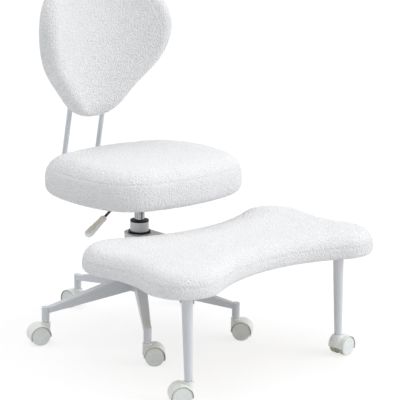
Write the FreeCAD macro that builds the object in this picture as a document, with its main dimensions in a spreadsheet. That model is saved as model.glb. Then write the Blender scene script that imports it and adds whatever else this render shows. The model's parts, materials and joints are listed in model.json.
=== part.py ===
import FreeCAD, Part
import math
import os
import re

import Sketcher
from FreeCAD import Placement, Rotation, Vector

# Cross-legged office chair: a seat with a two-post backrest on a gas lift, a five-armed base on
# casters, and a wide footrest that swings round the column on a sleeve and two legs of its own.
# Millimetres. The origin is where the column's axis meets the floor, +Z is up, the footrest
# points to -Y and the sitter's left is +X. The seat is stored at the bottom of its lift.

SIZES = {
    # Room between pieces: joined for good, turning or sliding, and round upholstery
    "press_gap": 0.05,
    "run_gap": 0.05,
    "rest_gap": 0.3,
    "soft_gap": 0.3,
    # Twin-wheel casters
    "wheel_radius": 25,
    "wheel_width": 16,
    "wheel_room": 1,
    "wheel_dish": 1.2,
    "wheel_face": 2,
    "wheel_flange": 2.5,
    "tread_depth": 3,
    "web_width": 11,
    "hood_wall": 2.2,
    "hood_lip": 0.5,
    "hood_rim": 1.2,
    "hood_front_cut": 1,
    "hood_rear_cut": 13,
    "trail": 18,
    "boss_radius": 12.5,
    "boss_rise": 32,
    "axle_radius": 3,
    "stem_radius": 5.5,
    "stem_in_hood": 17,
    "stem_in_socket": 25,
    "collar_radius": 8,
    "collar_height": 5,
    # Five-armed base
    "caster_circle": 266,
    "socket_radius": 10.3,
    "socket_height": 37,
    "socket_depth": 28,
    "hub_radius": 33,
    "hub_rise": 56,
    "hub_height": 52,
    "hub_chamfer": 2,
    "arm_root_width": 32,
    "arm_root_rise": 59,
    "arm_root_depth": 45,
    "arm_tip_width": 20,
    "arm_tip_rise": 20.5,
    "arm_tip_depth": 15.5,
    "arm_wall": 2.5,
    "arm_edge": 3.5,
    # Column and gas lift
    "column_radius": 25,
    "column_wall": 2,
    "column_length": 193,
    "column_floor": 4,
    "guide_length": 80,
    "guide_flange": 4,
    "cylinder_radius": 14,
    "cylinder_wall": 1.5,
    "cylinder_insert": 135,
    "cylinder_guide": 10,
    "cylinder_plug": 20,
    "cylinder_seat": 8.5,
    "valve_radius": 3,
    "valve_gap": 0.8,
    "rod_radius": 5,
    "rod_tail": 5,
    "rod_shoulder": 9,
    "bearing_radius": 11,
    "bearing_height": 6,
    "clip_radius": 9,
    "clip_height": 2,
    "piston_height": 14,
    "piston_room": 10,
    "lift_gap": 51,
    # Footrest sleeve, arm and legs
    "sleeve_wall": 3,
    "sleeve_bush": 2,
    "sleeve_length": 101.5,
    "bush_flange": 5,
    "bush_spigot": 20,
    "foot_arm_width": 80,
    "foot_arm_depth": 20,
    "foot_arm_wall": 4,
    "foot_arm_corner": 38,
    "foot_arm_front": 400,
    "leg_spread": 263.3,
    "leg_reach": 485.5,
    "leg_lean": 10,
    "leg_foot_radius": 10,
    "leg_head_radius": 14,
    "leg_wall": 1.8,
    "insert_height": 36,
    "leg_plate_reach": 40,
    "leg_plate_edge": 14.3,
    "plate_thickness": 4,
    # Footrest cushion: four round corners drawn in along every side
    "foot_centre": 352.6,
    "foot_half_length": 364,
    "foot_half_depth": 206,
    "foot_end_dip": 18,
    "foot_waist_dip": 66,
    "foot_corner": 98,
    "foot_thickness": 64,
    "foot_crown": 6,
    "foot_low_edge": 14,
    "foot_low_tuck": 10,
    "foot_high_edge": 32,
    "foot_board_inset": 14,
    "board_thickness": 12,
    # Seat mechanism and lever
    "mechanism_half_width": 50.7,
    "mechanism_front": 60,
    "mechanism_back": 90,
    "mechanism_height": 26,
    "mechanism_wall": 3,
    "plate_half_width": 95,
    "plate_half_depth": 80,
    "socket_tube": 5,
    "ear_thickness": 3,
    "ear_half_length": 12,
    "lever_radius": 3.5,
    "lever_drop": 9,
    "lever_arm": 28,
    "lever_nose": 6,
    "lever_bend": 62,
    "lever_bend_radius": 14,
    "lever_slope": 36,
    "lever_length": 88.6,
    "lever_eye": 5.5,
    "pivot_radius": 2,
    "handle_slope": 34,
    "handle_length": 88,
    "handle_neck": 17,
    "handle_width": 26,
    "handle_thickness": 14,
    "handle_socket": 18,
    "handle_round": 5.5,
    # Seat cushion: an oval squared off at the corners
    "seat_half_width": 249,
    "seat_half_depth": 218,
    "seat_forward": 17,
    "seat_corner": 135,
    "seat_corner_side": 143,
    "seat_corner_front": 149,
    "seat_thickness": 105,
    "seat_crown": 6,
    "seat_low_edge": 28,
    "seat_low_tuck": 22,
    "seat_high_edge": 52,
    "seat_board_inset": 34,
    # Backrest posts, board and cushion
    "post_radius": 7,
    "post_wall": 1.5,
    "post_start": 15,
    "post_drop": 12,
    "post_foot": 264.8,
    "post_lean": 11.3,
    "post_bend": 40,
    "post_knee": 214,
    "post_head": 152,
    "back_rise": 169,
    "back_half_width": 213.5,
    "back_widest": 246,
    "back_low_round": 126,
    "back_side_round": 190,
    "back_high_round": 132,
    "back_front": 31.5,
    "back_rear": 42,
    "back_wrap": 333,
    "back_middle": 206,
    "back_edge": 40,
    "back_wing_front": 38,
    "back_wing_back": 18,
    "back_rim_thickness": 24,
    "back_board_half_width": 80,
    "back_board_height": 130,
    "back_board_rise": 69,
    "back_board_thickness": 9,
    # Bolts
    "bolt_radius": 3,
    "bolt_head_radius": 6,
    "bolt_head": 4,
    "bolt_room": 0.1,
    "bolt_short": 2,
    "back_bolt_grip": 9,
    "seat_bolt_across": 75,
    "seat_bolt_along": 60,
    "foot_bolt_across": 25,
    "foot_bolt_back": 265,
    "foot_bolt_front": 375,
    "leg_bolt_far": 28,
    "leg_bolt_near": 4,
    "back_bolt_low": 25,
    "back_bolt_high": 95,
}

# Heights and radii that follow from the sizes
LEVELS = {
    "hood_radius": "wheel_radius + wheel_room + hood_wall",
    "hood_half": "web_width / 2 + wheel_room + wheel_width + hood_lip",
    "axle_half": "hood_half - hood_lip - wheel_dish - wheel_face",
    "caster_top": "wheel_radius + boss_rise + collar_height",
    "hub_bottom": "caster_top + hub_rise",
    "hub_top": "hub_bottom + hub_height",
    "column_top": "hub_bottom + column_length",
    "column_bore": "column_radius - column_wall",
    "cylinder_bottom": "column_top - cylinder_insert",
    "cylinder_top": "column_top + lift_gap + cylinder_seat",
    "cylinder_bore": "cylinder_radius - cylinder_wall",
    "sleeve_inside": "column_radius + sleeve_bush",
    "sleeve_outside": "sleeve_inside + sleeve_wall",
    "sleeve_bottom": "hub_top + rest_gap + bush_flange",
    "sleeve_top": "sleeve_bottom + sleeve_length",
    "foot_bottom": "sleeve_top + press_gap",
    "leg_top": "foot_bottom - plate_thickness",
    "leg_foot_bore": "leg_foot_radius - leg_wall",
    "leg_head_bore": "leg_head_radius - leg_wall",
    "insert_share": "insert_height / (leg_top - caster_top)",
    "mechanism_bottom": "column_top + lift_gap",
    "mechanism_top": "mechanism_bottom + mechanism_height",
    "seat_bottom": "mechanism_top + plate_thickness",
    "lever_level": "mechanism_top - lever_drop",
    "post_level": "mechanism_top - post_drop",
    "post_spread": "mechanism_half_width + rest_gap + post_radius",
    "back_bottom": "seat_bottom + back_rise",
    "back_height": "back_widest + back_high_round",
    "post_back": "post_foot - post_knee * tan(post_lean * 1 deg)",
    "back_board_front": "post_back - post_radius - press_gap - back_board_thickness",
    "back_board_bottom": "back_bottom + back_board_rise",
}

BASE_CASTERS = {
    # Arm angle round the column, and the way the wheels trail, in degrees from +X
    "back": (90, 98),
    "right_back": (162, 159),
    "right_front": (234, -39),
    "left_front": (306, -52),
    "left_back": (18, 40),
}
FOOT_CASTERS = {
    # Side of the footrest along X, and the way the wheels trail
    "footrest_right": (-1, 149),
    "footrest_left": (1, 4),
}

UP = Vector(0, 0, 1)
ACROSS = Vector(1, 0, 0)
ALONG = Vector(0, 1, 0)

doc = FreeCAD.newDocument("cross_legged_chair")
sheet = doc.addObject("Spreadsheet::Sheet", "Sizes")
for row, (name, value) in enumerate(SIZES.items(), start=1):
    sheet.set(f"A{row}", name)
    sheet.set(f"B{row}", str(value))
    sheet.setAlias(f"B{row}", name)
doc.recompute()

levels = doc.addObject("App::VarSet", "Levels")
nodes = []


def bound(text):
    """An expression on size names, written so that it reads the sheet and the levels."""
    def full_name(word):
        if word[0] in SIZES:
            return "Sizes." + word[0]
        if word[0] in LEVELS:
            return "Levels." + word[0]
        return word[0]
    return re.sub(r"[a-z_]+", full_name, text)


def size(name):
    """The number behind a size or a level."""
    if name in SIZES:
        return float(sheet.get(name))
    return getattr(levels, name)


for name, text in LEVELS.items():
    levels.addProperty("App::PropertyFloat", name)
    levels.setExpression(name, bound(text))
doc.recompute()


# Building blocks

def new_body(name):
    return doc.addObject("PartDesign::Body", name)


def new_sketch(body, plane, offset="0"):
    """A sketch on one of the body's own origin planes, moved along the plane's normal."""
    sketch = body.newObject("Sketcher::SketchObject", "Sketch")
    support = [item for item in body.Origin.OriginFeatures if item.Role == plane][0]
    sketch.AttachmentSupport = [(support, "")]
    sketch.MapMode = "FlatFace"
    sketch.setExpression("AttachmentOffset.Base.z", bound(offset))
    return sketch


def place_point(sketch, geometry, point, across, up):
    for kind, text in (("DistanceX", across), ("DistanceY", up)):
        index = sketch.addConstraint(Sketcher.Constraint(kind, geometry, point, 1.0))
        sketch.setExpression(f"Constraints[{index}]", bound(text))


def polygon(body, plane, corners, offset="0"):
    """A closed outline with every corner bound to an (across, up) pair."""
    sketch = new_sketch(body, plane, offset)
    count = len(corners)
    turns = [2 * math.pi * step / count for step in range(count)]
    rough = [Vector(math.cos(turn), math.sin(turn), 0) for turn in turns]
    for step in range(count):
        sketch.addGeometry(Part.LineSegment(rough[step], rough[(step + 1) % count]), False)
    for step in range(count):
        sketch.addConstraint(Sketcher.Constraint("Coincident", step, 2, (step + 1) % count, 1))
    for step, (across, up) in enumerate(corners):
        place_point(sketch, step, 1, across, up)
    return sketch


def rectangle(body, plane, low, high, offset="0"):
    (left, bottom), (right, top) = low, high
    corners = [(left, bottom), (right, bottom), (right, top), (left, top)]
    return polygon(body, plane, corners, offset)


def circles(body, plane, spots, offset="0"):
    """Circles bound to (across, up, radius) triples."""
    sketch = new_sketch(body, plane, offset)
    for step, (across, up, radius) in enumerate(spots):
        sketch.addGeometry(Part.Circle(Vector(3 * step, 0, 0), UP, 1), False)
        place_point(sketch, step, 3, across, up)
        index = sketch.addConstraint(Sketcher.Constraint("Radius", step, 1.0))
        sketch.setExpression(f"Constraints[{index}]", bound(radius))
    return sketch


def feature(body, kind, sketch, length, reverse=False):
    item = body.newObject("PartDesign::" + kind, kind)
    item.Profile = sketch
    item.setExpression("Length", bound(length))
    item.Reversed = reverse
    return item


def pad(body, sketch, length):
    return feature(body, "Pad", sketch, length)


def pocket(body, sketch, length, with_normal=False):
    """Cut against the sketch's normal, or along it, and make sure that something went."""
    doc.recompute()
    before = body.Shape.Volume
    item = feature(body, "Pocket", sketch, length, with_normal)
    doc.recompute()
    if body.Shape.Volume >= before:
        raise RuntimeError(f"a pocket in {body.Name} cuts nothing")
    return item


def turned(name, corners):
    """A body turned about +Z from a profile of (radius, height) corners."""
    body = new_body(name)
    turn = body.newObject("PartDesign::Revolution", "Revolution")
    turn.Profile = polygon(body, "XZ_Plane", corners)
    turn.ReferenceAxis = (turn.Profile[0], ["V_Axis"])
    turn.Angle = 360
    return body


def ring(name, inside, outside, bottom, top):
    return turned(name, [(inside, bottom), (outside, bottom), (outside, top), (inside, top)])


def loft(body, kind, first, last):
    item = body.newObject("PartDesign::" + kind, kind)
    item.Profile = first
    item.Sections = [last]
    item.Ruled = True
    return item


def dress(body, kind, base, edges, amount):
    """A fillet or chamfer on the edges of a feature that pass a test."""
    doc.recompute()
    chosen = [f"Edge{n}" for n, edge in enumerate(base.Shape.Edges, start=1) if edges(edge)]
    item = body.newObject("PartDesign::" + kind, kind)
    item.Base = (base, chosen)
    item.setExpression("Radius" if kind == "Fillet" else "Size", bound(amount))
    return item


def moved(source, name, across="0", along="0", up="0", turn=None):
    """A copy of one or more objects, at a bound place."""
    copy = doc.addObject("Part::Compound", name)
    copy.Links = source if isinstance(source, list) else [source]
    if turn is not None:
        copy.Placement = Placement(Vector(), turn)
    for axis, text in zip("xyz", (across, along, up)):
        copy.setExpression(f"Placement.Base.{axis}", bound(text))
    return copy


def mirrored(source, name):
    """The other side's copy, across the chair's middle plane."""
    mirror = doc.addObject("Part::Mirroring", name)
    mirror.Source = source
    mirror.Normal = ACROSS
    return mirror


def shaped(name, shape, place=Vector()):
    item = doc.addObject("Part::Feature", name)
    item.Shape = shape
    item.Placement = Placement(place, Rotation())
    return item


def node(label, item):
    item.Label = label
    nodes.append(item)
    return item


def about_z(degrees):
    return Rotation(UP, degrees)


def is_upright(edge):
    ends = [vertex.Point for vertex in edge.Vertexes]
    return len(ends) == 2 and (ends[1] - ends[0]).cross(UP).Length < 1e-6


# Casters: one set of masters, with the stem's axis at the origin and the wheels trailing to +X

def caster_pins():
    stem_low = "wheel_radius + boss_rise - stem_in_hood"
    stem = turned("CasterStem", [
        ("0", stem_low),
        ("stem_radius", stem_low),
        ("stem_radius", "wheel_radius + boss_rise"),
        ("collar_radius", "wheel_radius + boss_rise"),
        ("collar_radius", "caster_top - rest_gap"),
        ("stem_radius", "caster_top - rest_gap"),
        ("stem_radius", "caster_top + stem_in_socket"),
        ("0", "caster_top + stem_in_socket"),
    ])
    axle = new_body("CasterAxle")
    spot = [("trail", "wheel_radius", "axle_radius")]
    pad(axle, circles(axle, "XZ_Plane", spot, "-axle_half"), "2 * axle_half")
    return [stem, axle]


def caster_hood():
    hood = new_body("CasterHood")
    hub = ("trail", "wheel_radius")
    drum = pad(hood, circles(hood, "XZ_Plane", [(*hub, "hood_radius")], "-hood_half"), "2 * hood_half")
    dress(hood, "Fillet", drum, lambda edge: edge.Curve.TypeId == "Part::GeomCircle", "hood_rim")
    boss = circles(hood, "XY_Plane", [("0", "0", "boss_radius")], "wheel_radius")
    pad(hood, boss, "boss_rise")
    cavity = [(*hub, "wheel_radius + wheel_room")]
    depth = "hood_half - web_width / 2"
    pocket(hood, circles(hood, "XZ_Plane", cavity, "-hood_half"), depth, with_normal=True)
    pocket(hood, circles(hood, "XZ_Plane", cavity, "hood_half"), depth)
    near, far = "trail - hood_radius - boss_radius", "trail + hood_radius + boss_radius"
    below = polygon(hood, "XZ_Plane", [
        (near, "wheel_radius - hood_front_cut"),
        (far, "wheel_radius - hood_rear_cut"),
        (far, "-wheel_radius"),
        (near, "-wheel_radius"),
    ], "-hood_half - wheel_room")
    pocket(hood, below, "2 * (hood_half + wheel_room)", with_normal=True)
    bore = circles(hood, "XY_Plane", [("0", "0", "stem_radius + press_gap")], "wheel_radius + boss_rise")
    pocket(hood, bore, "stem_in_hood + press_gap")
    axle = circles(hood, "XZ_Plane", [(*hub, "axle_radius + press_gap")], "-web_width")
    pocket(hood, axle, "2 * web_width", with_normal=True)
    return hood


def wheel_pair(name, corners):
    """A ring turned about the axle, once for each side of the caster's web."""
    master = turned(name, corners)
    pair = []
    for side, turn in (("Near", 90), ("Far", -90)):
        flip = Rotation(ACROSS, turn)
        pair.append(moved(master, name + side, "trail", "0", "wheel_radius", flip))
    return pair


def caster_wheels():
    inner = "web_width / 2 + wheel_room"
    outer = inner + " + wheel_width"
    rim, face = "wheel_radius - tread_depth - press_gap", "wheel_radius - rest_gap"
    bore_end = "axle_half + rest_gap"
    return wheel_pair("CasterWheel", [
        ("axle_radius + run_gap", inner),
        (rim, inner),
        (rim, outer + " - wheel_flange"),
        (face, outer + " - wheel_flange"),
        (face, outer + " - wheel_dish"),
        (face + " - 2 * wheel_dish", outer),
        ("0", outer + " - wheel_dish / 2"),
        ("0", bore_end),
        ("axle_radius + run_gap", bore_end),
    ])


def caster_treads():
    inner = "web_width / 2 + wheel_room"
    outer = inner + " + wheel_width - wheel_flange - press_gap"
    rim = "wheel_radius - tread_depth"
    return wheel_pair("CasterTread", [
        (rim, inner),
        ("wheel_radius - wheel_dish", inner),
        ("wheel_radius", inner + " + wheel_dish"),
        ("wheel_radius", outer + " - wheel_dish"),
        ("wheel_radius - wheel_dish", outer),
        (rim, outer),
    ])


def casters():
    masters = {
        "pins": caster_pins(),
        "hood": [caster_hood()],
        "wheels": caster_wheels(),
        "treads": caster_treads(),
    }
    spots = {}
    for place, (angle, heading) in BASE_CASTERS.items():
        spots[place] = (f"caster_circle * cos({angle} deg)", f"caster_circle * sin({angle} deg)", heading)
    for place, (side, heading) in FOOT_CASTERS.items():
        spots[place] = (f"{side} * leg_spread", "-leg_reach", heading)
    for place, (across, along, heading) in spots.items():
        for piece, parts in masters.items():
            copy = moved(parts, "Caster", across, along, "0", about_z(heading))
            node(f"caster_{place}_{piece}", copy)


# Five-armed base: a hub, hollow tapered arms and an upright socket at each tip

def base_arm():
    """One arm along +X, cut round the hub at its root and round the socket at its tip."""
    arm = new_body("BaseArm")
    root, tip = "hub_radius / 2", "caster_circle - socket_radius / 2"
    side_view = polygon(arm, "XZ_Plane", [
        (root, "caster_top + arm_root_rise"),
        (tip, "caster_top + arm_tip_rise"),
        (tip, "caster_top + arm_tip_rise + arm_tip_depth"),
        (root, "caster_top + arm_root_rise + arm_root_depth"),
    ], "-arm_root_width / 2")
    pad(arm, side_view, "arm_root_width")
    for side in (1, -1):
        wedge = polygon(arm, "XY_Plane", [
            (root, f"{side} * arm_root_width / 2"),
            (tip, f"{side} * arm_tip_width / 2"),
            (tip, f"{side} * arm_root_width"),
            (root, f"{side} * arm_root_width"),
        ], "hub_top")
        tapered = pocket(arm, wedge, "hub_top")
    length = size("caster_circle") / 2
    dress(arm, "Fillet", tapered, lambda edge: edge.Length > length, "arm_edge")

    def inside(distance, width, rise, depth):
        low = (f"-{width} / 2 + arm_wall", f"caster_top + {rise} + arm_wall")
        high = (f"{width} / 2 - arm_wall", f"caster_top + {rise} + {depth} - arm_wall")
        return rectangle(arm, "YZ_Plane", low, high, distance)

    loft(arm, "SubtractiveLoft", inside(root, "arm_root_width", "arm_root_rise", "arm_root_depth"),
         inside(tip, "arm_tip_width", "arm_tip_rise", "arm_tip_depth"))
    ends = [("0", "0", "hub_radius + press_gap"), ("caster_circle", "0", "socket_radius + press_gap")]
    pocket(arm, circles(arm, "XY_Plane", ends, "hub_top"), "hub_top")
    return arm


def base_socket():
    return turned("BaseSocket", [
        ("stem_radius + run_gap", "caster_top"),
        ("socket_radius", "caster_top"),
        ("socket_radius", "caster_top + socket_height"),
        ("0", "caster_top + socket_height"),
        ("0", "caster_top + socket_depth"),
        ("stem_radius + run_gap", "caster_top + socket_depth"),
    ])


def star_base():
    node("base_hub", turned("BaseHub", [
        ("column_radius + press_gap", "hub_bottom"),
        ("hub_radius - hub_chamfer", "hub_bottom"),
        ("hub_radius", "hub_bottom + hub_chamfer"),
        ("hub_radius", "hub_top - hub_chamfer"),
        ("hub_radius - hub_chamfer", "hub_top"),
        ("column_radius + press_gap", "hub_top"),
    ]))
    arm = base_arm()
    socket = base_socket()
    arms = []
    sockets = []
    for angle, _ in BASE_CASTERS.values():
        turn = about_z(angle)
        arms.append(moved(arm, "Arm", turn=turn))
        spot = (f"caster_circle * cos({angle} deg)", f"caster_circle * sin({angle} deg)")
        sockets.append(moved(socket, "Socket", *spot))
    node("base_arms", moved(arms, "Arms"))
    node("base_sockets", moved(sockets, "Sockets"))


# Column and gas lift

def column():
    floor_top = "hub_bottom + column_floor"
    rim = "column_top - guide_flange"
    node("column_tube", turned("Column", [
        ("rod_radius + run_gap", "hub_bottom"),
        ("column_radius", "hub_bottom"),
        ("column_radius", rim),
        ("column_bore", rim),
        ("column_bore", floor_top),
        ("rod_radius + run_gap", floor_top),
    ]))
    node("column_guide_bush", turned("GuideBush", [
        ("cylinder_radius + run_gap", "column_top - guide_length"),
        ("column_bore - press_gap", "column_top - guide_length"),
        ("column_bore - press_gap", rim),
        ("column_radius", rim),
        ("column_radius", "column_top"),
        ("cylinder_radius + run_gap", "column_top"),
    ]))
    node("thrust_bearing", ring("Bearing", "rod_radius + run_gap", "bearing_radius",
                                floor_top, floor_top + " + bearing_height"))


def gas_lift():
    seat = "hub_bottom + column_floor + bearing_height"
    piston_top = "cylinder_top - cylinder_plug - piston_room"
    piston = "cylinder_bore - run_gap"
    node("gas_rod", turned("GasRod", [
        ("0", "hub_bottom - rod_tail"),
        ("rod_radius", "hub_bottom - rod_tail"),
        ("rod_radius", seat),
        ("rod_shoulder", seat),
        ("rod_shoulder", seat + " + clip_height"),
        ("rod_radius", seat + " + clip_height"),
        ("rod_radius", piston_top + " - piston_height"),
        (piston, piston_top + " - piston_height"),
        (piston, piston_top),
        ("0", piston_top),
    ]))
    node("rod_clip", ring("RodClip", "rod_radius + press_gap", "clip_radius",
                          "hub_bottom - rest_gap - clip_height", "hub_bottom - rest_gap"))
    node("gas_cylinder", turned("GasCylinder", [
        ("valve_radius + run_gap", "cylinder_top"),
        ("cylinder_radius", "cylinder_top"),
        ("cylinder_radius", "cylinder_bottom"),
        ("rod_radius + run_gap", "cylinder_bottom"),
        ("rod_radius + run_gap", "cylinder_bottom + cylinder_guide"),
        ("cylinder_bore", "cylinder_bottom + cylinder_guide"),
        ("cylinder_bore", "cylinder_top - cylinder_plug"),
        ("valve_radius + run_gap", "cylinder_top - cylinder_plug"),
    ]))
    valve_top = "lever_level - lever_radius - valve_gap"
    node("valve_pin", turned("ValvePin", [
        ("0", "cylinder_top - cylinder_plug"),
        ("valve_radius", "cylinder_top - cylinder_plug"),
        ("valve_radius", valve_top),
        ("0", valve_top),
    ]))


# Footrest frame: a sleeve on the column, a cranked channel to the board, and two tapered legs

def footrest_sleeve():
    node("swivel_sleeve", ring("Sleeve", "sleeve_inside", "sleeve_outside", "sleeve_bottom", "sleeve_top"))
    bushes = []
    for name, end, way in (("UpperBush", "sleeve_top", 1), ("LowerBush", "sleeve_bottom", -1)):
        flange = f"{end} + {way} * bush_flange"
        spigot = f"{end} - {way} * bush_spigot"
        bushes.append(turned(name, [
            ("column_radius + run_gap", flange),
            ("sleeve_outside - press_gap", flange),
            ("sleeve_outside - press_gap", end),
            ("sleeve_inside - press_gap", end),
            ("sleeve_inside - press_gap", spigot),
            ("column_radius + run_gap", spigot),
        ]))
    node("sleeve_bushes", moved(bushes, "SleeveBushes"))


def foot_arm_bolts():
    return [(f"{side} * foot_bolt_across", f"-{along}")
            for side in (-1, 1) for along in ("foot_bolt_back", "foot_bolt_front")]


def footrest_arm():
    """A channel, open underneath, with round ends and the sleeve through the back one."""
    arm = new_body("FootArm")

    def channel(inset):
        half = f"(foot_arm_width / 2 - {inset})"
        low, high = (f"-{half}", f"-foot_arm_front + {inset}"), (half, half)
        return rectangle(arm, "XY_Plane", low, high, "sleeve_top - foot_arm_depth")

    bar = pad(arm, channel("0"), "foot_arm_depth")
    dress(arm, "Fillet", bar, is_upright, "foot_arm_corner")
    pocket(arm, channel("foot_arm_wall"), "foot_arm_depth - foot_arm_wall", with_normal=True)
    holes = [("0", "0", "sleeve_outside + press_gap")]
    pocket(arm, circles(arm, "XY_Plane", holes, "sleeve_top"), "foot_arm_depth")
    bolts = [(*spot, "bolt_radius + bolt_room") for spot in foot_arm_bolts()]
    pocket(arm, circles(arm, "XY_Plane", bolts, "sleeve_top"), "foot_arm_wall")
    node("footrest_arm", arm)


def footrest_legs():
    head_along = "-leg_reach + leg_lean"

    def tapered(body, kind, foot_radius, head_radius, along, height):
        """A round loft that leans back from the caster's axis."""
        foot = circles(body, "XY_Plane", [("leg_spread", "-leg_reach", foot_radius)], "caster_top")
        head = circles(body, "XY_Plane", [("leg_spread", along, head_radius)], height)
        loft(body, kind, foot, head)

    leg = new_body("FootLeg")
    tapered(leg, "AdditiveLoft", "leg_foot_radius", "leg_head_radius", head_along, "leg_top")
    tapered(leg, "SubtractiveLoft", "leg_foot_bore", "leg_head_bore", head_along, "leg_top")
    doc.recompute()
    node("footrest_leg_left", leg)
    node("footrest_leg_right", mirrored(leg, "FootLegRight"))

    insert = new_body("LegInsert")
    insert_head = "leg_foot_bore + (leg_head_bore - leg_foot_bore) * insert_share - press_gap"
    tapered(insert, "AdditiveLoft", "leg_foot_bore - press_gap", insert_head,
            "-leg_reach + leg_lean * insert_share", "caster_top + insert_height")
    bore = [("leg_spread", "-leg_reach", "stem_radius + run_gap")]
    pocket(insert, circles(insert, "XY_Plane", bore, "caster_top + socket_depth"), "socket_depth")
    node("footrest_sockets", moved([insert, mirrored(insert, "LegInsertRight")], "LegInserts"))

    plate = new_body("LegPlate")
    low = ("leg_spread - leg_plate_reach", head_along + " - leg_plate_edge")
    high = ("leg_spread + leg_plate_edge", head_along + " + leg_plate_reach")
    slab = pad(plate, rectangle(plate, "XY_Plane", low, high, "leg_top"), "plate_thickness")
    dress(plate, "Fillet", slab, is_upright, "leg_plate_edge")
    holes = [(*spot, "bolt_radius + bolt_room") for spot in leg_bolts()]
    pocket(plate, circles(plate, "XY_Plane", holes, "foot_bottom"), "plate_thickness")
    node("footrest_leg_plates", moved([plate, mirrored(plate, "LegPlateRight")], "LegPlates"))


def leg_bolts():
    far, near = "leg_bolt_far", "leg_bolt_near"
    head = "-leg_reach + leg_lean"
    return [
        (f"leg_spread - {far}", f"{head} - {near}"),
        (f"leg_spread - {far}", f"{head} + {far}"),
        (f"leg_spread + {near}", f"{head} + {far}"),
    ]


def bolt(name, grip):
    """A bolt at the origin that points up, with the underside of its head at height 0."""
    return turned(name, [
        ("0", "-bolt_head"),
        ("bolt_head_radius", "-bolt_head"),
        ("bolt_head_radius", "0"),
        ("bolt_radius", "0"),
        ("bolt_radius", grip),
        ("0", grip),
    ])


def footrest_bolts():
    master = bolt("FootBolt", "plate_thickness + board_thickness - bolt_short")
    spots = [(*spot, "sleeve_top - foot_arm_wall") for spot in foot_arm_bolts()]
    for across, along in leg_bolts():
        spots.append((across, along, "leg_top"))
        spots.append((f"-({across})", along, "leg_top"))
    node("footrest_bolts", moved([moved(master, "Bolt", *spot) for spot in spots], "FootBolts"))


# Cushion forms: lofts through outlines of lines and arcs

# Turns round an edge, in degrees, at which a cushion is sliced
EDGE_TURNS = [0, 18, 36, 54, 72, 90]
# How far a crown's last slice goes in, as a share of the outline's corner
CROWN_END = 0.88
# Slices up the crown, as shares of the way from the edge to that last slice
CROWN_SHARES = [0.3, 0.6, 1]
# Turns at which the backrest is sliced, up from its lowest point and down from its top
BACK_LOW_TURNS = [8, 18, 30, 42, 54, 66, 78, 90]
BACK_HIGH_TURNS = [72, 54, 36, 20, 8]
# Length of the backrest's round ends, as a share of their thickness
WING_ROUND = 0.45


def flat(across, along):
    return Vector(across, along, 0)


def polar(centre, radius, angle):
    return centre + Vector(radius * math.cos(angle), radius * math.sin(angle), 0)


def arc_ring(stops):
    """A closed wire of arcs through alternating joints and middles, starting at a joint."""
    closed = stops + stops[:1]
    return Part.Wire([Part.Arc(*closed[n:n + 3]).toShape() for n in range(0, len(stops), 2)])


def four_ways(quarter, across_end, along_end):
    """Joints and middles of a whole outline from one quarter and the ends of both axes."""
    stops = quarter[::-1] + [flat(across_end, 0)] + [flat(p.x, -p.y) for p in quarter]
    stops += [flat(0, -along_end)] + [flat(-p.x, -p.y) for p in quarter[::-1]]
    stops += [flat(-across_end, 0)] + [flat(-p.x, p.y) for p in quarter] + [flat(0, along_end)]
    return stops


def corner_stops(centre, radius, first, last):
    return [polar(centre, radius, angle) for angle in (first, (first + last) / 2, last)]


def seat_ring(inset):
    """The seat's oval: shallow arcs on the four sides and a tighter arc at each corner."""
    half_width, half_depth = size("seat_half_width"), size("seat_half_depth")
    corner = size("seat_corner")
    side, front = size("seat_corner_side"), size("seat_corner_front")
    centre = flat(half_width - side, half_depth - front)
    side_round = (side ** 2 + centre.y ** 2 - corner ** 2) / (2 * (side - corner))
    front_round = (front ** 2 + centre.x ** 2 - corner ** 2) / (2 * (front - corner))
    first = math.atan2(centre.y, centre.x - half_width + side_round)
    last = math.atan2(centre.y - half_depth + front_round, centre.x)
    quarter = corner_stops(centre, corner - inset, first, last)
    return arc_ring(four_ways(quarter, half_width - inset, half_depth - inset))


def foot_ring(inset):
    """The footrest's outline: four round corners joined by hollow sides."""
    corner = size("foot_corner")
    end, waist = size("foot_end_dip"), size("foot_waist_dip")
    half_length, half_depth = size("foot_half_length"), size("foot_half_depth")
    centre = flat(half_length - corner, half_depth - corner)
    end_x, waist_y = half_length - end, half_depth - waist

    def hollow(away, gap):
        """Radius of the arc that touches both corners and passes the middle of a side."""
        return (away ** 2 + gap ** 2 - corner ** 2) / (2 * (corner - gap))

    end_round = hollow(centre.y, end_x - centre.x)
    waist_round = hollow(centre.x, waist_y - centre.y)
    first = math.atan2(-centre.y, end_x + end_round - centre.x)
    last = math.atan2(waist_y + waist_round - centre.y, -centre.x)
    quarter = corner_stops(centre, corner - inset, first, last)
    return arc_ring(four_ways(quarter, end_x - inset, waist_y - inset))


def cushion_steps(part, reach):
    """(inset, height) pairs up a cushion's side, over its edge and up its crown."""
    thickness, crown = size(f"{part}_thickness"), size(f"{part}_crown")
    low_edge, low_tuck = size(f"{part}_low_edge"), size(f"{part}_low_tuck")
    high_edge = size(f"{part}_high_edge")
    last = CROWN_END * size(f"{part}_corner")

    def top(inset):
        """Height of the upper face: a round edge, plus a dome over the whole cushion."""
        left = high_edge - min(inset, high_edge)
        edge = thickness - crown - high_edge + math.sqrt(high_edge ** 2 - left ** 2)
        return edge + crown * (1 - (1 - inset / reach) ** 2)

    steps = []
    for degrees in EDGE_TURNS[::-1]:
        turn = math.radians(degrees)
        steps.append((low_tuck * (1 - math.cos(turn)), low_edge * (1 - math.sin(turn))))
    insets = [high_edge * (1 - math.cos(math.radians(degrees))) for degrees in EDGE_TURNS]
    insets += [high_edge + (last - high_edge) * share for share in CROWN_SHARES]
    return steps + [(inset, top(inset)) for inset in insets]


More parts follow.
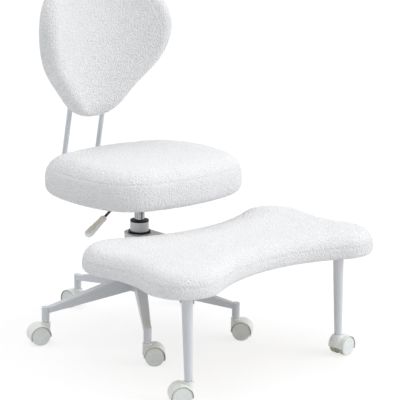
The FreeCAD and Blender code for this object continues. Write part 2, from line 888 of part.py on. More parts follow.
def cushion(outline, part, reach):
    """A crowned cushion, standing at the origin, with a recess underneath for its board."""
    rings = []
    for inset, height in cushion_steps(part, reach):
        wire = outline(inset)
        wire.translate(Vector(0, 0, height))
        rings.append(wire)
    form = Part.makeLoft(rings, True, True)
    recess = Part.Face(outline(size(f"{part}_board_inset") - size("soft_gap")))
    return form.cut(recess.extrude(UP * (size("board_thickness") + size("soft_gap"))))


def board(outline, part, centre, holes):
    """A plywood board in a cushion's outline, at the origin, drilled for its bolts."""
    depth = size("board_thickness")
    slab = Part.Face(outline(size(f"{part}_board_inset"))).extrude(UP * depth)
    radius = size("bolt_radius") + size("press_gap")
    drills = [Part.makeCylinder(radius, depth, flat(*hole) - flat(0, centre)) for hole in holes]
    return slab.cut(drills)


def footrest_cushion():
    place = Vector(0, -size("foot_centre"), size("foot_bottom"))
    head = size("leg_lean") - size("leg_reach")
    far, near, spread = size("leg_bolt_far"), size("leg_bolt_near"), size("leg_spread")
    holes = [(side * size("foot_bolt_across"), -size(along))
             for side in (-1, 1) for along in ("foot_bolt_back", "foot_bolt_front")]
    for side in (-1, 1):
        holes.append((side * (spread - far), head - near))
        holes.append((side * (spread - far), head + far))
        holes.append((side * (spread + near), head + far))
    reach = size("foot_half_depth") - size("foot_waist_dip")
    node("footrest_board", shaped("FootBoard", board(foot_ring, "foot", place.y, holes), place))
    node("footrest_pad", shaped("FootPad", cushion(foot_ring, "foot", reach), place))


# Seat: mechanism, lever, board and cushion

def seat_bolt_spots():
    return [(f"{across} * seat_bolt_across", f"{along} * seat_bolt_along")
            for across in (-1, 1) for along in (-1, 1)]


def seat_mechanism():
    box = new_body("Mechanism")
    low, high = ("-mechanism_half_width", "-mechanism_front"), ("mechanism_half_width", "mechanism_back")
    pad(box, rectangle(box, "XY_Plane", low, high, "mechanism_bottom"), "mechanism_height")
    inner = [tuple(f"{text} {sign} mechanism_wall" for text in corner)
             for corner, sign in ((low, "+"), (high, "-"))]
    pocket(box, rectangle(box, "XY_Plane", *inner, "mechanism_top"), "mechanism_height - mechanism_wall")
    tube = circles(box, "XY_Plane", [("0", "0", "cylinder_radius + socket_tube")], "mechanism_bottom")
    pad(box, tube, "cylinder_seat + run_gap")
    ear_room = "lever_eye + run_gap"
    for side in (-1, 1):
        edges = [f"{side} * ({ear_room})", f"{side} * ({ear_room} + ear_thickness)"]
        low_y, high_y = edges[::side]
        ear = rectangle(box, "XY_Plane", ("-lever_arm - ear_half_length", low_y),
                        ("-lever_arm + ear_half_length", high_y), "mechanism_bottom")
        pad(box, ear, "mechanism_height - rest_gap")
    plate = rectangle(box, "XY_Plane", ("-plate_half_width", "-plate_half_depth"),
                      ("plate_half_width", "plate_half_depth"), "mechanism_top")
    slab = pad(box, plate, "plate_thickness")
    half = size("plate_half_width")
    dress(box, "Fillet", slab, lambda edge: is_upright(edge) and abs(edge.CenterOfMass.x) > half - 1,
          "mechanism_wall")
    bore = circles(box, "XY_Plane", [("0", "0", "cylinder_radius + press_gap")], "mechanism_top - lever_drop")
    pocket(box, bore, "mechanism_height")
    slot_low, slot_high = "lever_level - 2 * lever_radius", "lever_level + 2 * lever_radius"
    slot = rectangle(box, "YZ_Plane", ("-lever_eye", slot_low), ("lever_eye", slot_high),
                     "-mechanism_half_width - mechanism_wall")
    pocket(box, slot, "3 * mechanism_wall", with_normal=True)
    pivot = circles(box, "XZ_Plane", [("-lever_arm", "lever_level", "pivot_radius + press_gap")],
                    "-mechanism_half_width / 2")
    pocket(box, pivot, "mechanism_half_width", with_normal=True)
    bolts = [(*spot, "bolt_radius + bolt_room") for spot in seat_bolt_spots()]
    pocket(box, circles(box, "XY_Plane", bolts, "seat_bottom"), "2 * plate_thickness")
    node("seat_mechanism", box)


def bent_path(corners, bend):
    """Straight runs between corner points, joined by tangent arcs of one radius."""
    edges = []
    here = corners[0]
    for before, corner, after in zip(corners, corners[1:], corners[2:]):
        back = (before - corner).normalize()
        on = (after - corner).normalize()
        half = back.getAngle(on) / 2
        reach = bend / math.tan(half)
        middle = (back + on).normalize()
        start, end = corner + back * reach, corner + on * reach
        top = corner + middle * (bend / math.sin(half) - bend)
        edges += [Part.makeLine(here, start), Part.Arc(start, top, end).toShape()]
        here = end
    edges.append(Part.makeLine(here, corners[-1]))
    return Part.Wire(edges)


def bent_bar(corners, bend, radius):
    path = bent_path(corners, bend)
    way = (corners[1] - corners[0]).normalize()
    section = Part.Wire(Part.makeCircle(radius, corners[0], way))
    return path.makePipeShell([section], True, True)


def lever():
    level, arm = size("lever_level"), size("lever_arm")
    slope = math.radians(size("lever_slope"))
    bend = Vector(-size("lever_bend"), 0, level)
    tip = bend + Vector(-math.cos(slope), 0, -math.sin(slope)) * size("lever_length")
    corners = [Vector(size("lever_nose"), 0, level), bend, tip]
    bar = bent_bar(corners, size("lever_bend_radius"), size("lever_radius"))
    width = 2 * size("lever_eye")
    pivot = Vector(-arm, -size("lever_eye"), level)
    bar = bar.fuse(Part.makeCylinder(size("lever_eye"), width, pivot, ALONG))
    bar = bar.cut(Part.makeCylinder(size("pivot_radius") + size("run_gap"), width, pivot, ALONG))
    node("lever_rod", shaped("LeverRod", bar))
    node("lever_handle", shaped("LeverHandle", lever_handle(bend, tip)))

    pin = new_body("LeverPivot")
    half = "(lever_eye + run_gap + ear_thickness)"
    spot = [("-lever_arm", "lever_level", "pivot_radius")]
    pad(pin, circles(pin, "XZ_Plane", spot, "-" + half), "2 * " + half)
    node("lever_pivot", pin)


def lever_handle(bend, tip):
    """A flat paddle with a narrow neck, drilled to take the end of the lever."""
    neck, width = size("handle_neck") / 2, size("handle_width") / 2
    length, socket = size("handle_length"), size("handle_socket")
    thickness, edge = size("handle_thickness"), size("handle_round")
    swell = length - 2 * width
    sides = []
    for side in (1, -1):
        sides.append([flat(0, side * neck), flat(socket, side * neck), flat(swell, side * width)])
    upper, lower = sides
    end = Part.Arc(upper[2], flat(swell + width, 0), lower[2])
    runs = [(lower[2], lower[1]), (lower[1], lower[0]), (lower[0], upper[0]),
            (upper[0], upper[1]), (upper[1], upper[2])]
    outline = Part.Wire([end.toShape()] + [Part.makeLine(*run) for run in runs])
    paddle = Part.Face(outline).extrude(UP * thickness)
    paddle.translate(Vector(0, 0, -thickness / 2))
    paddle = paddle.makeFillet(edge, paddle.Edges)
    # The drilling runs with the lever, the paddle drops away from it
    drop = Rotation(ALONG, 180 - size("handle_slope"))
    paddle.Placement = Placement(tip + (bend - tip).normalize() * socket, Rotation(drop))
    way = (tip - bend).normalize()
    drill = Part.makeCylinder(size("lever_radius") + size("press_gap"), 2 * socket,
                              tip - way * 2 * socket, way)
    return paddle.cut(drill)


def seat_cushion():
    place = Vector(0, -size("seat_forward"), size("seat_bottom"))
    holes = [(across * size("seat_bolt_across"), along * size("seat_bolt_along"))
             for across in (-1, 1) for along in (-1, 1)]
    node("seat_board", shaped("SeatBoard", board(seat_ring, "seat", place.y, holes), place))
    node("seat_pad", shaped("SeatPad", cushion(seat_ring, "seat", size("seat_half_depth")), place))
    master = bolt("SeatBolt", "plate_thickness + board_thickness - bolt_short")
    bolts = [moved(master, "Bolt", *spot, "mechanism_top") for spot in seat_bolt_spots()]
    node("seat_bolts", moved(bolts, "SeatBolts"))


# Backrest: two bent posts, a flat board bolted to their tops and a cushion that wraps round it

def post_corners():
    spread, level = size("post_spread"), size("post_level")
    knee = level + size("post_knee")
    return [
        Vector(spread, size("post_start"), level),
        Vector(spread, size("post_foot"), level),
        Vector(spread, size("post_back"), knee),
        Vector(spread, size("post_back"), knee + size("post_head")),
    ]


def back_bolt_heights():
    return [size("back_board_bottom") + size(name) for name in ("back_bolt_low", "back_bolt_high")]


def back_posts():
    corners = post_corners()
    radius, bend = size("post_radius"), size("post_bend")
    tube = bent_bar(corners, bend, radius).cut(bent_bar(corners, bend, radius - size("post_wall")))
    hole = size("bolt_radius") + size("press_gap")
    for height in back_bolt_heights():
        front = Vector(size("post_spread"), size("post_back") - 2 * radius, height)
        tube = tube.cut(Part.makeCylinder(hole, 2 * radius, front, ALONG))
    post = shaped("BackPost", tube)
    node("back_upright_left", post)
    node("back_upright_right", mirrored(post, "BackPostRight"))


def back_board_box(room):
    half, height = size("back_board_half_width") + room, size("back_board_height") + 2 * room
    depth = size("back_board_thickness") + 2 * room
    corner = Vector(-half, size("back_board_front") - room, size("back_board_bottom") - room)
    return Part.makeBox(2 * half, depth, height, corner)


def back_bolt_drills(radius, start, end):
    """Cylinders along the back bolts, between two distances from the board's front."""
    spread, front = size("post_spread"), size("back_board_front") + start
    return [Part.makeCylinder(radius, end - start, Vector(side * spread, front, height), ALONG)
            for side in (-1, 1) for height in back_bolt_heights()]


def back_half_width(height):
    """Half the backrest's width at a height above its lowest point."""
    half, widest = size("back_half_width"), size("back_widest")
    low, side, high = size("back_low_round"), size("back_side_round"), size("back_high_round")
    if height >= widest:
        rise = min(height - widest, high)
        return half - high + math.sqrt(high ** 2 - rise ** 2)
    # A straight flank touches the round bottom and the round side
    offset = flat(half - side, widest - low)
    turn = math.atan2(offset.y, offset.x) - math.acos((low - side) / offset.Length)
    flank_low, flank_high = low + low * math.sin(turn), widest + side * math.sin(turn)
    if height <= flank_low:
        return math.sqrt(max(low ** 2 - (low - height) ** 2, 0))
    if height >= flank_high:
        return half - side + math.sqrt(side ** 2 - (widest - height) ** 2)
    share = (height - flank_low) / (flank_high - flank_low)
    low_x, high_x = low * math.cos(turn), half - side + side * math.cos(turn)
    return low_x + share * (high_x - low_x)


def back_ring(height):
    """A level slice of the backrest: two long arcs that wrap the sitter, and two round ends."""
    edge, wrap, rim = size("back_edge"), size("back_wrap"), size("back_rim_thickness") / 2
    near_rim = min(height, size("back_height") - height, edge) / edge
    swell = math.sqrt(1 - (1 - near_rim) ** 2)

    def depth(full):
        return rim + (full - rim) * swell

    front, back = wrap - depth(size("back_wing_front")), wrap + depth(size("back_wing_back"))
    between = (front + back) / 2
    centre = flat(0, size("back_middle") - wrap)
    width = back_half_width(height)
    tip = math.asin(width / between)
    corner = tip - min(WING_ROUND * (back - front), width / 2) / between

    def at(radius, turn):
        return centre + flat(radius * math.sin(turn), radius * math.cos(turn))

    wire = arc_ring([
        at(front, -corner), at(wrap - depth(size("back_front")), 0), at(front, corner),
        at(between, tip),
        at(back, corner), at(wrap + depth(size("back_rear")), 0), at(back, -corner),
        at(between, -tip),
    ])
    wire.translate(Vector(0, 0, size("back_bottom") + height))
    return wire


def backrest():
    widest, rise = size("back_widest"), size("back_high_round")
    heights = [widest * (1 - math.cos(math.radians(turn))) for turn in BACK_LOW_TURNS]
    heights += [widest + rise * math.cos(math.radians(turn)) for turn in BACK_HIGH_TURNS]
    form = Part.makeLoft([back_ring(height) for height in heights], True, False)
    room = size("soft_gap")
    radius = size("post_radius") + room
    corners = post_corners()
    corners[-1] = corners[-1] + UP * room
    channel = bent_bar(corners, size("post_bend"), radius)
    other = channel.mirror(Vector(), ACROSS)
    heads = back_bolt_drills(size("bolt_head_radius") + room, -size("bolt_head") - room, room)
    form = form.cut([channel, other, back_board_box(room)] + heads)
    node("back_pad", shaped("BackPad", form))

    depth = size("back_board_thickness")
    drills = back_bolt_drills(size("bolt_radius") + size("press_gap"), 0, depth)
    node("back_board", shaped("BackBoard", back_board_box(0).cut(drills)))
    master = bolt("BackBolt", "back_board_thickness + back_bolt_grip")
    lie = Rotation(ACROSS, -90)
    bolts = []
    for side in (-1, 1):
        for rise in ("back_bolt_low", "back_bolt_high"):
            height = f"back_board_bottom + {rise}"
            bolts.append(moved(master, "Bolt", f"{side} * post_spread", "back_board_front", height, lie))
    node("back_bolts", moved(bolts, "BackBolts"))


casters()
star_base()
column()
gas_lift()
footrest_sleeve()
footrest_arm()
footrest_legs()
footrest_bolts()
footrest_cushion()
seat_mechanism()
lever()
seat_cushion()
back_posts()
backrest()
doc.recompute()

for item in doc.Objects:
    if "Invalid" in item.State or "Error" in item.State:
        raise RuntimeError(f"{item.Name} failed to build: {item.State}")
for item in nodes:
    if item.Shape.isNull() or not item.Shape.isValid() or not item.Shape.Solids:
        raise RuntimeError(f"{item.Label} has no valid solid")

os.makedirs("parts", exist_ok=True)
for item in nodes:
    item.Shape.exportStep(os.path.join("parts", item.Label + ".step"))
print(len(nodes), "nodes written")
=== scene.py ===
import json
import math

import bpy
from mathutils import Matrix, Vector


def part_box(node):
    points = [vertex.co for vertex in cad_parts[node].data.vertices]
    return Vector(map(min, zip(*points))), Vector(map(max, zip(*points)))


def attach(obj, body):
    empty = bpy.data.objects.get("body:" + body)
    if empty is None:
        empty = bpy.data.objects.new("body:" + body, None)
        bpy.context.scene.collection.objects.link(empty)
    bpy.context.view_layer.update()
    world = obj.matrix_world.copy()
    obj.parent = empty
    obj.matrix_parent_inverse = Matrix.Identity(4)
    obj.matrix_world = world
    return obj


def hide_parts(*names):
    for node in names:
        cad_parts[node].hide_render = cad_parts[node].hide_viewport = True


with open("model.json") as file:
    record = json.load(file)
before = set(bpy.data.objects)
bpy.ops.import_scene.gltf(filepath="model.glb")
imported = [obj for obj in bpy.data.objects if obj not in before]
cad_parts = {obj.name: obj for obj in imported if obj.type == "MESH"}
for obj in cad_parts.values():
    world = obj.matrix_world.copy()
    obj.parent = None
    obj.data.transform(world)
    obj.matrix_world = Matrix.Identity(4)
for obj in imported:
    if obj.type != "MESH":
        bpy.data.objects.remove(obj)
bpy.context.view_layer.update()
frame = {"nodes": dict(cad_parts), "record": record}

# Cross-legged office chair: looks, upholstery, light and camera, in metres in the CAD's own frame.

scene = bpy.context.scene


def nothing_selected():
    bpy.ops.object.select_all(action="DESELECT")


def chosen(piece):
    nothing_selected()
    piece.select_set(True)
    bpy.context.view_layer.objects.active = piece


def applied(piece, kind, **settings):
    """One modifier, set up and applied."""
    chosen(piece)
    modifier = piece.modifiers.new(kind.title(), kind)
    for name, value in settings.items():
        setattr(modifier, name, value)
    bpy.ops.object.modifier_apply(modifier=modifier.name)


# Materials

CELL_SMOOTHNESS = 0.35
STIR_SHARE = 0.6


class Finish:
    """A material's node tree, with short ways to add the nodes that a finish needs."""

    def __init__(self, name, rough, metal=0.0):
        self.material = bpy.data.materials.new(name)
        self.material.use_nodes = True
        self.tree = self.material.node_tree
        self.shader = self.tree.nodes["Principled BSDF"]
        self.shader.inputs["Metallic"].default_value = metal
        self.shader.inputs["Roughness"].default_value = rough
        self.coords = self.tree.nodes.new("ShaderNodeTexCoord").outputs["Object"]

    def link(self, out, socket):
        self.tree.links.new(out, socket)

    def set(self, **values):
        for name, value in values.items():
            self.shader.inputs[name.replace("_", " ")].default_value = value
        return self

    def noise(self, scale, detail, stretch=(1, 1, 1)):
        node = self.tree.nodes.new("ShaderNodeTexNoise")
        node.inputs["Scale"].default_value = scale
        node.inputs["Detail"].default_value = detail
        mapping = self.tree.nodes.new("ShaderNodeMapping")
        mapping.inputs["Scale"].default_value = stretch
        self.link(self.coords, mapping.inputs["Vector"])
        self.link(mapping.outputs["Vector"], node.inputs["Vector"])
        return node.outputs["Fac"]

    def cells(self, scale, wobble=0.0):
        """Rounded cells, their places stirred by a noise so that no row shows."""
        node = self.tree.nodes.new("ShaderNodeTexVoronoi")
        node.feature = "SMOOTH_F1"
        node.inputs["Scale"].default_value = scale
        node.inputs["Smoothness"].default_value = CELL_SMOOTHNESS
        where = self.coords
        if wobble:
            stir = self.tree.nodes.new("ShaderNodeTexNoise")
            stir.inputs["Scale"].default_value = scale * STIR_SHARE
            shift = self.tree.nodes.new("ShaderNodeVectorMath")
            shift.operation = "MULTIPLY_ADD"
            shift.inputs[1].default_value = (wobble, wobble, wobble)
            self.link(self.coords, stir.inputs["Vector"])
            self.link(stir.outputs["Color"], shift.inputs[0])
            self.link(self.coords, shift.inputs[2])
            where = shift.outputs["Vector"]
        self.link(where, node.inputs["Vector"])
        return node.outputs["Distance"]

    def ramp(self, value, stops):
        node = self.tree.nodes.new("ShaderNodeValToRGB")
        band = node.color_ramp
        for step, (place, colour) in enumerate(stops):
            stop = band.elements[step] if step < 2 else band.elements.new(place)
            stop.position = place
            stop.color = (*colour, 1)
        self.link(value, node.inputs["Fac"])
        return node.outputs["Color"]

    def multiplied(self, first, second):
        """Two colours multiplied: the mix node's colour sockets stand after its plain and vector ones."""
        node = self.tree.nodes.new("ShaderNodeMix")
        node.data_type = "RGBA"
        node.blend_type = "MULTIPLY"
        node.inputs[0].default_value = 1.0
        self.link(first, node.inputs[6])
        self.link(second, node.inputs[7])
        return node.outputs[2]

    def colour(self, out):
        self.link(out, self.shader.inputs["Base Color"])
        return self

    def roughness(self, value, low, high):
        node = self.tree.nodes.new("ShaderNodeMapRange")
        node.inputs["To Min"].default_value = low
        node.inputs["To Max"].default_value = high
        self.link(value, node.inputs["Value"])
        self.link(node.outputs["Result"], self.shader.inputs["Roughness"])
        return self

    def bump(self, height, depth, strength):
        node = self.tree.nodes.new("ShaderNodeBump")
        node.inputs["Distance"].default_value = depth
        node.inputs["Strength"].default_value = strength
        before = self.shader.inputs["Normal"]
        if before.is_linked:
            self.link(before.links[0].from_socket, node.inputs["Normal"])
        self.link(height, node.inputs["Height"])
        self.link(node.outputs["Normal"], before)
        return self


def boucle_finish():
    """Curled white loops, with painted shade: brighter where they stand up, greyer down between them."""
    finish = Finish("boucle_white", rough=0.95)
    loops = finish.cells(scale=250, wobble=0.0045)
    curls = finish.cells(scale=520, wobble=0.0025)
    # Painted shade: the colour greys towards the cell edges, down between the loops and between the finer
    # curls.
    painted_loop_shade = finish.ramp(loops, [(0.1, (0.915, 0.92, 0.93)), (0.75, (0.845, 0.85, 0.865))])
    painted_curl_shade = finish.ramp(curls, [(0.0, (1, 1, 1)), (0.8, (0.95, 0.952, 0.955))])
    clouds = finish.noise(scale=26, detail=4)
    patches = finish.ramp(clouds, [(0.3, (0.975, 0.977, 0.98)), (0.7, (1, 1, 1))])
    finish.colour(finish.multiplied(finish.multiplied(painted_loop_shade, painted_curl_shade), patches))
    finish.bump(loops, depth=-0.0024, strength=0.9).bump(curls, depth=-0.0009, strength=0.7)
    return finish.set(Sheen_Weight=0.25, Sheen_Roughness=0.6, Specular_IOR_Level=0.15).material


def paint_finish(name, colour):
    """Powder coat: a fine orange-peel and slight clouding."""
    finish = Finish(name, rough=0.42)
    clouded = tuple(0.93 * part for part in colour)
    finish.colour(finish.ramp(finish.noise(scale=14, detail=5), [(0.25, clouded), (0.75, colour)]))
    finish.roughness(finish.noise(scale=60, detail=2), low=0.34, high=0.48)
    finish.bump(finish.noise(scale=900, detail=2), depth=0.0002, strength=0.35)
    return finish.set(Coat_Weight=0.15, Coat_Roughness=0.25).material


def metal_finish(name, colour, rough, stretch, depth, dulled):
    """Bright metal with hair lines along its turning or its drawing."""
    finish = Finish(name, rough, metal=1.0)
    lines = finish.noise(scale=160, detail=3, stretch=stretch)
    dull = tuple(dulled * part for part in colour)
    finish.colour(finish.ramp(lines, [(0.3, dull), (0.7, colour)]))
    finish.roughness(lines, low=0.7 * rough, high=1.4 * rough)
    return finish.bump(lines, depth, strength=0.3).material


def plastic_finish(name, colour, rough, grain, depth, gleam=0.5):
    """Moulded plastic with a fine spark grain."""
    finish = Finish(name, rough).set(Specular_IOR_Level=gleam)
    pale = tuple(min(1.0, 1.08 * part) for part in colour)
    finish.colour(finish.ramp(finish.noise(scale=30, detail=4), [(0.3, colour), (0.7, pale)]))
    finish.roughness(finish.noise(scale=90, detail=2), low=0.85 * rough, high=1.15 * rough)
    return finish.bump(finish.cells(grain), depth, strength=0.4).material


def plywood_finish():
    """Bare birch, its grain along X."""
    finish = Finish("plywood_birch", rough=0.6)
    grain = finish.noise(scale=22, detail=6, stretch=(1, 9, 9))
    finish.colour(finish.ramp(grain, [(0.3, (0.62, 0.50, 0.35)), (0.7, (0.75, 0.64, 0.49))]))
    return finish.bump(grain, depth=0.0003, strength=0.4).material


PAINT_GREY = (0.70, 0.735, 0.79)

FINISHES = {
    "boucle": boucle_finish(),
    "frame_paint": paint_finish("powder_coat_grey", PAINT_GREY),
    "post_paint": paint_finish("powder_coat_posts", PAINT_GREY),
    "dark_steel": paint_finish("mechanism_enamel", (0.05, 0.05, 0.055)),
    "chrome_steel": metal_finish("piston_chrome", (0.50, 0.51, 0.53), rough=0.12,
                                 stretch=(1.2, 1.2, 0.04), depth=0.00005, dulled=0.45),
    "bright_steel": metal_finish("zinc_steel", (0.60, 0.60, 0.61), rough=0.3,
                                 stretch=(6, 6, 1), depth=0.0001, dulled=0.85),
    "black_plastic": plastic_finish("bush_black", (0.008, 0.008, 0.009), rough=0.5,
                                    grain=900, depth=0.0002, gleam=0.2),
    "handle_plastic": plastic_finish("handle_grey", (0.88, 0.9, 0.905), rough=0.5,
                                     grain=700, depth=0.0003),
    "caster_white": plastic_finish("caster_hood_white", (0.82, 0.845, 0.84), rough=0.3,
                                   grain=800, depth=0.0001),
    "caster_disc": plastic_finish("caster_disc_white", (0.78, 0.82, 0.815), rough=0.28,
                                  grain=800, depth=0.0001),
    "tread_green": plastic_finish("tread_pale_green", (0.48, 0.555, 0.35), rough=0.45,
                                  grain=600, depth=0.0002),
    "plywood": plywood_finish(),
}
for part in frame["record"]["subparts"]:
    mesh = frame["nodes"][part["node"]].data
    mesh.materials.clear()
    mesh.materials.append(FINISHES[part["material_slot"]])


# Upholstery

# The even mesh of a cushion and how it is smoothed
VOXEL = 0.0052
WELD = 0.00005
SMOOTHING = 0.5
FIRST_PASSES = 4
LAST_PASSES = 6

# The pressure run, and how far the cover may come out
SIM_FRAMES = 20
SIM_QUALITY = 4
PRESSURE = 4.0
SHRINK = 0.002
SWELL_CAP = 0.0018

# The fall of the seat's top, and the share of the way to the back edge where it is full
FALL = 0.006
FALL_REACH = 0.75

# Seams: height above the floor, half width, depth, and how upright the cover is there
SEAT_SEAM = 0.463
FOOT_SEAM = 0.308
SEAM_HALF = 0.004
SEAM_DEPTH = 0.0011
SIDE_SLOPE = 0.5

# Loops of the cover
LOOP_SIZE = 0.0052
LOOP_HEIGHT = 0.001

# Held room round a board, and the distance over which a cushion comes free
BOARD_ROOM = 0.0135
FADE = 0.035
board_low, board_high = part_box("back_board")


def pad_copy(node, name):
    """The cushion's CAD solid as a closed, evenly meshed piece of its own."""
    nothing_selected()
    piece = bpy.data.objects.new(name, frame["nodes"][node].data.copy())
    scene.collection.objects.link(piece)
    chosen(piece)
    bpy.ops.object.mode_set(mode="EDIT")
    bpy.ops.mesh.select_all(action="SELECT")
    bpy.ops.mesh.remove_doubles(threshold=WELD)
    bpy.ops.object.mode_set(mode="OBJECT")
    applied(piece, "REMESH", mode="VOXEL", voxel_size=VOXEL)
    applied(piece, "SMOOTH", factor=SMOOTHING, iterations=FIRST_PASSES)
    return piece


def swelled(piece, freedom):
    """Foam pressing out against its cover, less and less towards what carries the cushion."""
    rest = [vertex.co.copy() for vertex in piece.data.vertices]
    applied(piece, "DISPLACE", strength=-SHRINK, mid_level=0.0)
    chosen(piece)
    cloth = piece.modifiers.new("Cover", "CLOTH")
    cloth.settings.quality = SIM_QUALITY
    cloth.settings.use_pressure = True
    cloth.settings.uniform_pressure_force = PRESSURE
    cloth.settings.effector_weights.gravity = 0
    cloth.point_cache.frame_start = 1
    cloth.point_cache.frame_end = SIM_FRAMES
    for step in range(1, SIM_FRAMES + 1):
        scene.frame_set(step)
    bpy.ops.object.modifier_apply(modifier=cloth.name)
    scene.frame_set(1)
    for vertex, start in zip(piece.data.vertices, rest):
        move = vertex.co - start
        if move.length > SWELL_CAP:
            vertex.co = start + move * (SWELL_CAP / move.length)
    applied(piece, "SMOOTH", factor=SMOOTHING, iterations=LAST_PASSES)
    for vertex, start in zip(piece.data.vertices, rest):
        vertex.co = start.lerp(vertex.co, freedom(start))


def sewn_round(piece, height):
    """A seam round the side, drawn into the cover at one height."""
    mesh = piece.data
    moves = []
    for vertex in mesh.vertices:
        off = abs(vertex.co.z - height) / SEAM_HALF
        side = math.hypot(vertex.normal.x, vertex.normal.y)
        if off < 1 and side > SIDE_SLOPE:
            moves.append((vertex.index, vertex.normal * (-SEAM_DEPTH * (1 - off ** 2) ** 2)))
    for index, move in moves:
        mesh.vertices[index].co += move


def looped(piece):
    """Loops that stand up from the cover."""
    loops = bpy.data.textures.new(piece.name + "_loops", "VORONOI")
    loops.noise_scale = LOOP_SIZE
    applied(piece, "DISPLACE", texture=loops, texture_coords="LOCAL", strength=-LOOP_HEIGHT, mid_level=0.5)


def fallen_behind(piece):
    """The seat's top, a little lower at the back than at the front."""
    low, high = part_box("seat_pad")
    for vertex in piece.data.vertices:
        behind = min(max(vertex.co.y / high[1] / FALL_REACH, 0.0), 1.0)
        raised = min(max((vertex.co.z - low[2]) / (high[2] - low[2]), 0.0), 1.0)
        vertex.co.z -= FALL * behind ** 2 * (3 - 2 * behind) * raised ** 2


def upholstered(node, name, body, freedom, seam=None, falls=False):
    """A covered cushion in place of its CAD solid; freedom says how far each point may swell."""
    piece = pad_copy(node, name)
    swelled(piece, freedom)
    if falls:
        fallen_behind(piece)
    applied(piece, "SUBSURF", levels=1, render_levels=1)
    if seam is not None:
        sewn_round(piece, seam)
    looped(piece)
    chosen(piece)
    bpy.ops.object.shade_smooth()
    piece.data.materials.clear()
    piece.data.materials.append(FINISHES["boucle"])
    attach(piece, body)
    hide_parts(node)


def eased(distance):
    """None by the board, full a little way off."""
    return min(max((distance - BOARD_ROOM) / FADE, 0.0), 1.0)


def above(node):
    """Freedom that grows upwards from the board under a cushion."""
    floor_of_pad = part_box(node)[0][2]
    return lambda point: eased(point.z - floor_of_pad)


def round_back_board(point):
    """Freedom that grows away from the board and the posts inside the backrest."""
    behind = point.y - board_high[1] - BOARD_ROOM
    return eased(max(abs(point.x) - board_high[0], board_low[1] - point.y, behind))


upholstered("seat_pad", "seat_cushion", "seat", above("seat_pad"), SEAT_SEAM, falls=True)
upholstered("footrest_pad", "footrest_cushion", "footrest", above("footrest_pad"), FOOT_SEAM)
upholstered("back_pad", "back_cushion", "seat", round_back_board)


# Caster trim

# The ring's two radii and its mesh
TRIM_RING = 0.0264
TRIM_THICKNESS = 0.0007
TRIM_SEGMENTS = 72
TRIM_SIDES = 8

# The hood's half width, and its lower edge below the axle with its slope to the rear
HOOD_HALF_WIDTH = 0.023
HOOD_EDGE_DROP = 0.0065
HOOD_EDGE_SLOPE = 0.147


def hood_trim(place, hub, axle):
    """A thin green line round both open sides of a caster's hood, down to its sloping lower edge."""
    nothing_selected()
    sides = []
    turn = axle.to_track_quat("Z", "Y").to_euler()
    for side in (-1, 1):
        bpy.ops.mesh.primitive_torus_add(
            location=hub + axle * (side * HOOD_HALF_WIDTH), rotation=turn,
            major_radius=TRIM_RING, minor_radius=TRIM_THICKNESS,
            major_segments=TRIM_SEGMENTS, minor_segments=TRIM_SIDES)
        sides.append(bpy.context.object)
    for ring in sides:
        ring.select_set(True)
    bpy.ops.object.join()
    trim = bpy.context.object
    trim.name = f"caster_{place}_trim"
    bpy.ops.object.transform_apply(location=True, rotation=True, scale=True)
    up = Vector((0, 0, 1))
    rear = Vector((axle.y, -axle.x, 0))
    bpy.ops.object.mode_set(mode="EDIT")
    bpy.ops.mesh.select_all(action="SELECT")
    bpy.ops.mesh.bisect(plane_co=hub - up * HOOD_EDGE_DROP, plane_no=rear * HOOD_EDGE_SLOPE + up,
                        use_fill=True, clear_inner=True)
    bpy.ops.object.mode_set(mode="OBJECT")
    bpy.ops.object.shade_smooth()
    trim.data.materials.append(FINISHES["tread_green"])
    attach(trim, "caster_" + place)


for joint in frame["record"]["behaviour"]["joints"]:
    if joint["name"].endswith("_roll"):
        hood_trim(joint["name"].removesuffix("_roll"), Vector(joint["pos_m"]), Vector(joint["axis"]))


# Floor, light and camera

# What the floor and the world give to the camera and to all other light
FLOOR_SIZE = 80
FLOOR_SEEN = (0.26, 0.26, 0.265, 1)
FLOOR_GLOW = 0.755
FLOOR_PLAIN = (0.78, 0.78, 0.78, 1)
WORLD_LIGHT = 0.41
WORLD_SEEN = 1.0

# The camera that was fitted to the photograph, turns in degrees
LENS_MM = 131.238
SENSOR_MM = 36
FARTHEST = 200
CAMERA_PLACE = (-2.4644, -2.8568, 1.2794)
CAMERA_TURN = (76.3922, -0.9243, -42.9983)


def seen_rays(tree):
    """One for what the camera sees, straight or in metal and clear pieces, and zero for all other light."""
    path = tree.nodes.new("ShaderNodeLightPath")
    socket = path.outputs["Is Camera Ray"]
    for way in ("Is Glossy Ray", "Is Transmission Ray"):
        either = tree.nodes.new("ShaderNodeMath")
        either.operation = "MAXIMUM"
        tree.links.new(socket, either.inputs[0])
        tree.links.new(path.outputs[way], either.inputs[1])
        socket = either.outputs[0]
    return socket


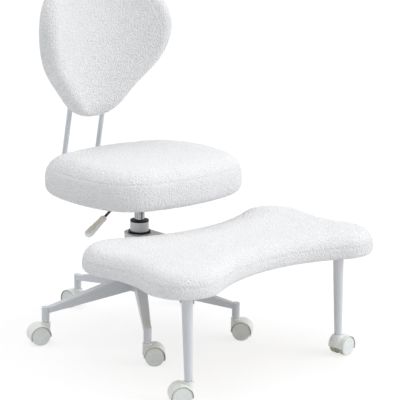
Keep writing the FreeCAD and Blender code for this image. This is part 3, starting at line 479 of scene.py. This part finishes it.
def floor_finish():
    """White where it is seen, with a faint shadow; plain and pale to all other light."""
    material = bpy.data.materials.new("studio_floor")
    material.use_nodes = True
    tree = material.node_tree
    tree.nodes.clear()

    def add(kind):
        return tree.nodes.new("ShaderNode" + kind)

    out, seen, glow, shade = add("OutputMaterial"), add("BsdfDiffuse"), add("Emission"), add("AddShader")
    plain, pick = add("BsdfDiffuse"), add("MixShader")
    seen.inputs["Color"].default_value = FLOOR_SEEN
    glow.inputs["Strength"].default_value = FLOOR_GLOW
    plain.inputs["Color"].default_value = FLOOR_PLAIN
    tree.links.new(seen.outputs[0], shade.inputs[0])
    tree.links.new(glow.outputs[0], shade.inputs[1])
    tree.links.new(seen_rays(tree), pick.inputs[0])
    tree.links.new(plain.outputs[0], pick.inputs[1])
    tree.links.new(shade.outputs[0], pick.inputs[2])
    tree.links.new(pick.outputs[0], out.inputs["Surface"])
    return material


nothing_selected()
bpy.ops.mesh.primitive_plane_add(size=FLOOR_SIZE)
floor = bpy.context.object
floor.name = "floor"
floor.data.materials.append(floor_finish())

world = bpy.data.worlds.new("studio")
scene.world = world
world.use_nodes = True
sky = world.node_tree
backdrop = sky.nodes["Background"]
backdrop.inputs["Color"].default_value = (1, 1, 1, 1)
level = sky.nodes.new("ShaderNodeMapRange")
level.inputs["To Min"].default_value = WORLD_LIGHT
level.inputs["To Max"].default_value = WORLD_SEEN
sky.links.new(seen_rays(sky), level.inputs["Value"])
sky.links.new(level.outputs["Result"], backdrop.inputs["Strength"])


def soft_light(name, aim, spread, strength):
    """Even light from one side, as from a wide diffuser: aim points from the chair to the lamp."""
    lamp = bpy.data.lights.new(name, "SUN")
    lamp.angle = math.radians(spread)
    lamp.energy = strength
    holder = bpy.data.objects.new(name, lamp)
    scene.collection.objects.link(holder)
    holder.rotation_euler = Vector(aim).to_track_quat("Z", "Y").to_euler()


soft_light("key_from_right", aim=(0.58, -0.62, 0.52), spread=45, strength=1.52)
soft_light("light_from_above", aim=(-0.1, 0.1, 1.0), spread=70, strength=1.6)

lens = bpy.data.cameras.new("photo_view")
lens.lens = LENS_MM
lens.sensor_width = SENSOR_MM
lens.clip_end = FARTHEST
camera = bpy.data.objects.new("photo_view", lens)
scene.collection.objects.link(camera)
camera.location = CAMERA_PLACE
camera.rotation_euler = [math.radians(turn) for turn in CAMERA_TURN]
scene.camera = camera
scene.view_settings.view_transform = "Standard"
